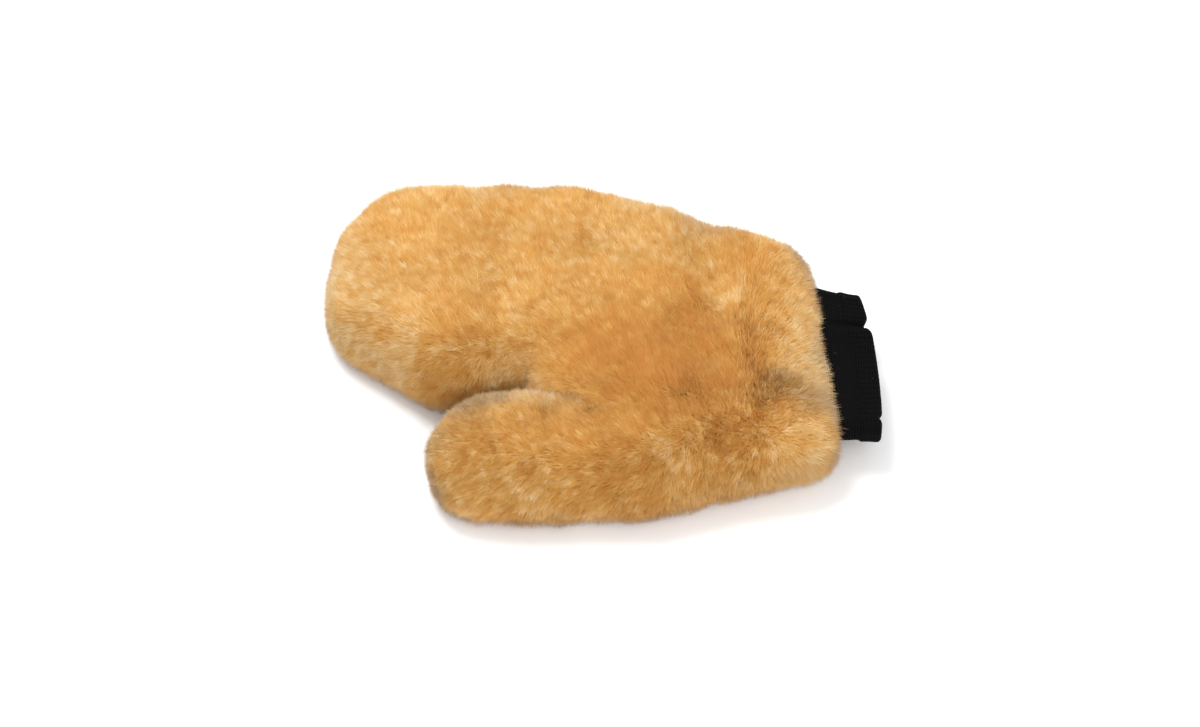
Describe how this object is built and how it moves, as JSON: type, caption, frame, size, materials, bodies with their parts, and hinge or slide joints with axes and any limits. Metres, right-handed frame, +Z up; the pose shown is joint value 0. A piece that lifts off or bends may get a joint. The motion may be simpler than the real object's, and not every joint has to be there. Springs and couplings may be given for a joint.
{
  "type": "wash mitt",
  "caption": "Wash mitt of tan sheared sheepskin with a separate thumb, sewn from an upper and a lower panel, with a black ribbed knit cuff folded double at its hem.",
  "frame": {"origin": "on the surface the mitt lies on, under the middle of its box", "axes": "+X from the fingertips to the cuff, +Y to the side away from the thumb, +Z up out of the lower panel"},
  "size_m": [0.278, 0.215, 0.05],
  "materials": {
    "sheepskin_wool": "dense sheared wool pile, golden tan",
    "sheepskin_hide": "matt suede",
    "sewing_thread": "waxed thread",
    "rib_knit": "black rib knit",
    "elastic_yarn": "covered elastic",
    "black_thread": "black thread"
  },
  "bodies": {
    "hand": {"hand_top_fleece": "sheepskin_wool", "hand_bottom_fleece": "sheepskin_wool", "hand_top_hide": "sheepskin_hide", "hand_bottom_hide": "sheepskin_hide", "hand_seam_stitches": "sewing_thread", "wrist_seam_stitches": "sewing_thread"},
    "fingers": {"fingers_top_fleece": "sheepskin_wool", "fingers_bottom_fleece": "sheepskin_wool", "fingers_top_hide": "sheepskin_hide", "fingers_bottom_hide": "sheepskin_hide", "fingers_seam_stitches": "sewing_thread"},
    "thumb": {"thumb_top_fleece": "sheepskin_wool", "thumb_bottom_fleece": "sheepskin_wool", "thumb_top_hide": "sheepskin_hide", "thumb_bottom_hide": "sheepskin_hide", "thumb_seam_stitches": "sewing_thread"},
    "cuff": {"rib_cuff": "rib_knit", "cuff_hem_elastic": "elastic_yarn", "cuff_closing_stitches": "black_thread"}
  },
  "joints": [
    {"name": "finger_bend", "type": "hinge", "parent": "hand", "child": "fingers", "pos_m": [-0.012, 0, 0.025], "axis": [0, 1, 0], "range_deg": [0, 60]},
    {"name": "thumb_spread", "type": "hinge", "parent": "hand", "child": "thumb", "pos_m": [0.01, -0.0695, 0.0215], "axis": [0, 0, 1], "range_deg": [0, 25]},
    {"name": "cuff_tilt", "type": "hinge", "parent": "hand", "child": "cuff", "pos_m": [0.108, -0.0105, 0.0215], "axis": [0, -1, 0], "range_deg": [-20, 20]}
  ]
}
